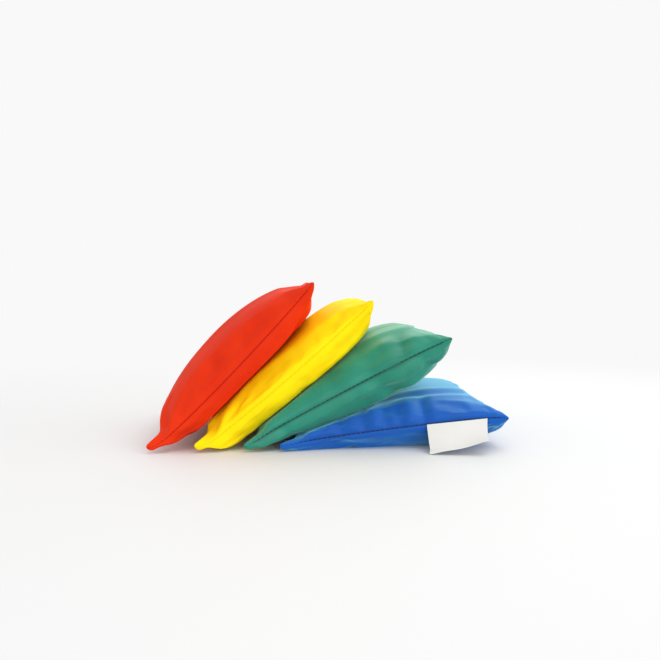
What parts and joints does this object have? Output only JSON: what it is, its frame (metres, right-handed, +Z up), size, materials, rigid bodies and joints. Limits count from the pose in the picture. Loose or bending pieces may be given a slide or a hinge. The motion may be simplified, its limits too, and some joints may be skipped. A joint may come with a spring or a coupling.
{
  "type": "toss bean bag",
  "caption": "Square toss bean bags of coated fabric, fanned so that each leans on the next, with pellet filling, stitched edge seams and a bare side label.",
  "frame": {"origin": "centre of the set's footprint on the floor", "axes": "+Z up, +X from the feet of the leaning bags to the head of the bag that lies flat, -Y the side with the label"},
  "size_m": [0.2092, 0.1368, 0.0918],
  "materials": {
    "blue_fabric": "satin",
    "green_fabric": "satin",
    "yellow_fabric": "satin",
    "red_fabric": "satin",
    "blue_thread": "matte",
    "green_thread": "matte",
    "yellow_thread": "matte",
    "red_thread": "matte",
    "pellets": "matte",
    "label_fabric": "matte"
  },
  "bodies": {
    "blue_bag": {"blue_upper_panel": "blue_fabric", "blue_lower_panel": "blue_fabric", "blue_pellet_filling": "pellets", "blue_seam_thread": "blue_thread", "blue_closing_thread": "blue_thread"},
    "green_bag": {"green_upper_panel": "green_fabric", "green_lower_panel": "green_fabric", "green_pellet_filling": "pellets", "green_seam_thread": "green_thread", "green_closing_thread": "green_thread"},
    "yellow_bag": {"yellow_upper_panel": "yellow_fabric", "yellow_lower_panel": "yellow_fabric", "yellow_pellet_filling": "pellets", "yellow_seam_thread": "yellow_thread", "yellow_closing_thread": "yellow_thread"},
    "red_bag": {"red_upper_panel": "red_fabric", "red_lower_panel": "red_fabric", "red_pellet_filling": "pellets", "red_seam_thread": "red_thread", "red_closing_thread": "red_thread"},
    "label": {"side_label": "label_fabric"}
  },
  "joints": [
    {"name": "green_lift", "type": "slide", "parent": "blue_bag", "child": "green_bag", "axis": [0, 0, 1], "range_m": [0, 0.1]},
    {"name": "yellow_lift", "type": "slide", "parent": "green_bag", "child": "yellow_bag", "axis": [0, 0, 1], "range_m": [0, 0.1]},
    {"name": "red_lift", "type": "slide", "parent": "yellow_bag", "child": "red_bag", "axis": [0, 0, 1], "range_m": [0, 0.1]},
    {"name": "label_flap", "type": "hinge", "parent": "blue_bag", "child": "label", "pos_m": [0.07646, -0.05441, 0.01513], "axis": [-0.9931, 0.0537, -0.1046], "range_deg": [0, 110]}
  ]
}
